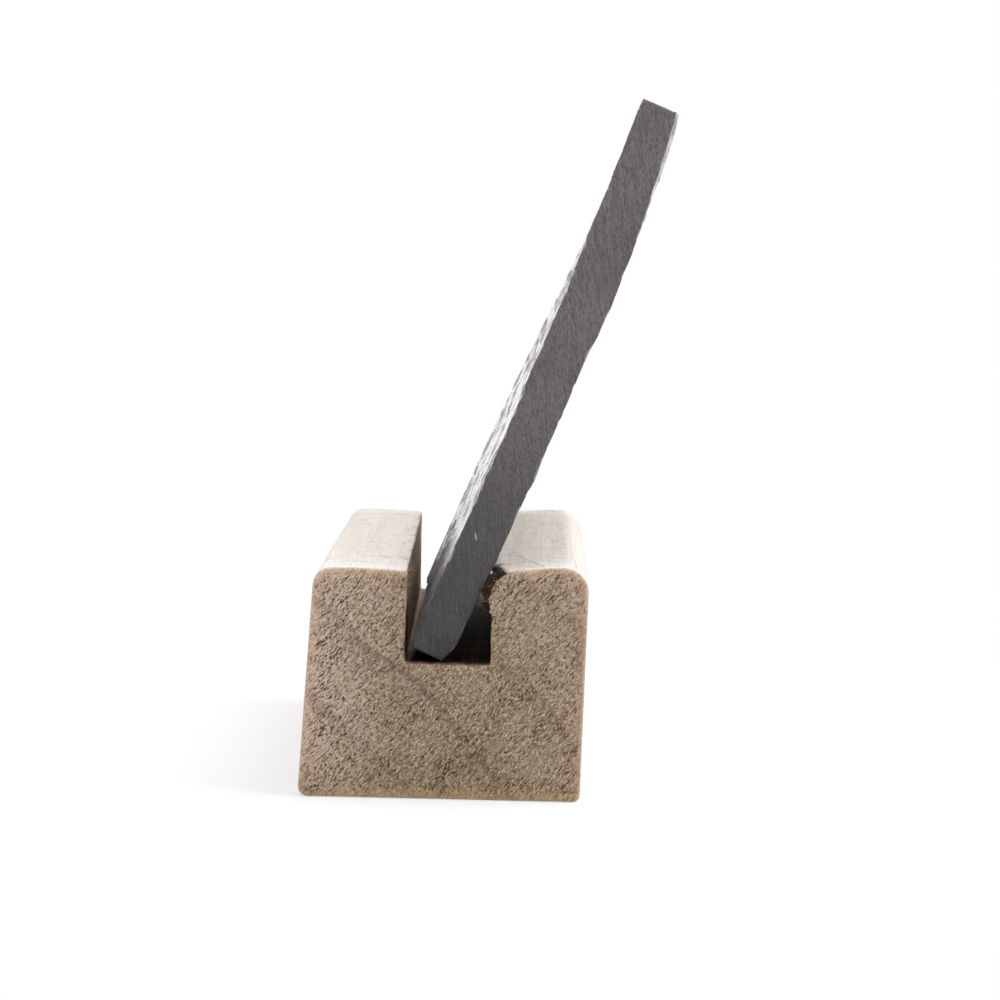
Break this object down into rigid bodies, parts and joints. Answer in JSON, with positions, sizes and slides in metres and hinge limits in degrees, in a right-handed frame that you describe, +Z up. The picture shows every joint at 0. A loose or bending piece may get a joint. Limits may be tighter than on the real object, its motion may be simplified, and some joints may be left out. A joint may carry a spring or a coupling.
{
  "type": "place card holder",
  "caption": "Slotted wooden block that holds a rough slate card, which leans back on the slot's lip and lifts out.",
  "frame": {"origin": "middle of the block's flat underside", "axes": "+Z up; +Y along the slot, away from the end that the picture shows; +X towards the side that the card leans to"},
  "size_m": [0.0379, 0.08, 0.0703],
  "materials": {
    "beech": "matte",
    "slate": "matte"
  },
  "bodies": {
    "block": {"wood_block": "beech"},
    "card": {"slate_card": "slate"}
  },
  "joints": [
    {"name": "card_lift", "type": "slide", "parent": "block", "child": "card", "axis": [0, 0, 1], "range_m": [0, 0.015]}
  ]
}
